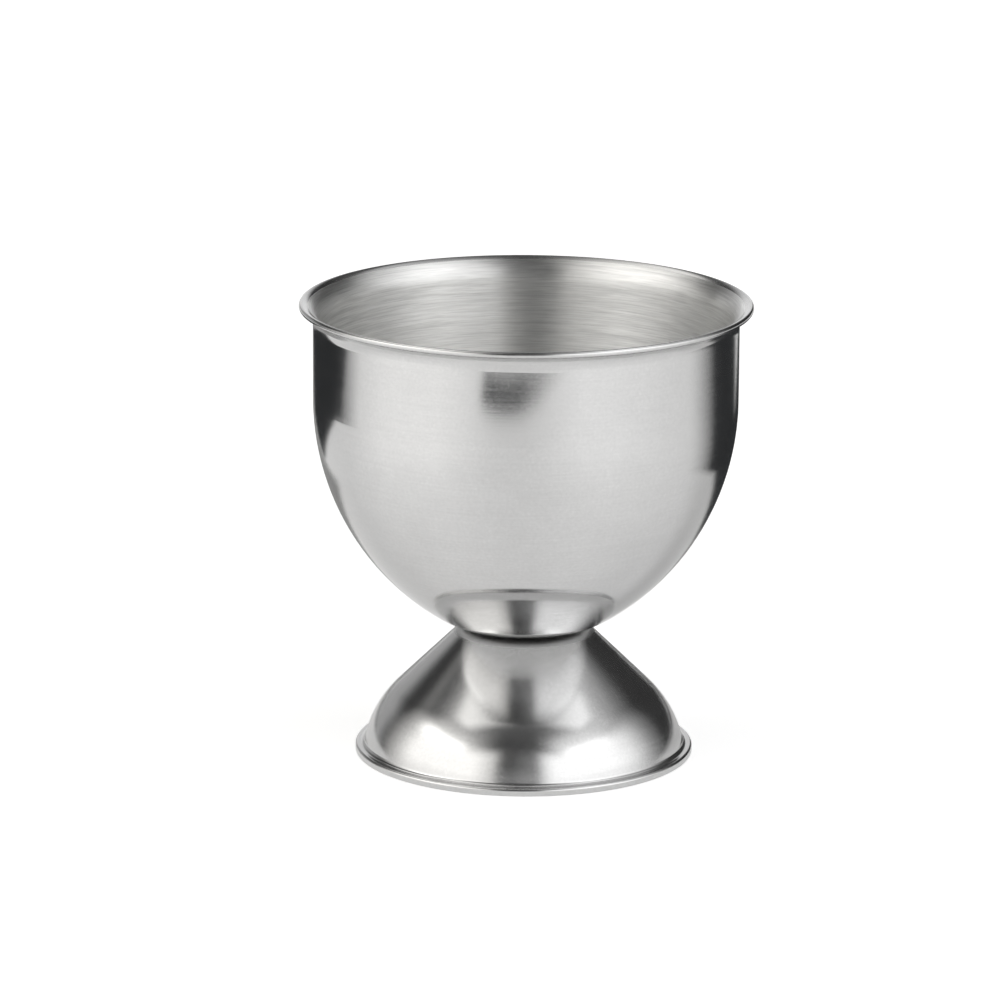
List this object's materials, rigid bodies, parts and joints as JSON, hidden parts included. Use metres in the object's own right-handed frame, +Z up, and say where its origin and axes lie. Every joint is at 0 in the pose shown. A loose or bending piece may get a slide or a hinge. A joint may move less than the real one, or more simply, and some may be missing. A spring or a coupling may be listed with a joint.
{
  "type": "egg cup",
  "caption": "Footed metal egg cup: a deep round-bottomed bowl with a flared lip, welded to a hollow cone-shaped foot with a narrow flange.",
  "frame": {"origin": "centre of the plane that the foot rests on, on the cup's axis", "axes": "+Z up along the cup's axis; X and Y are free, because the part is round"},
  "size_m": [0.05, 0.05, 0.051],
  "materials": {
    "bowl_steel": "satin polish outside, circular brushing inside",
    "foot_steel": "satin polish outside, as drawn inside",
    "weld_steel": "fused, as cast"
  },
  "bodies": {
    "root": {"bowl": "bowl_steel", "foot": "foot_steel", "weld_nugget": "weld_steel"}
  },
  "joints": []
}
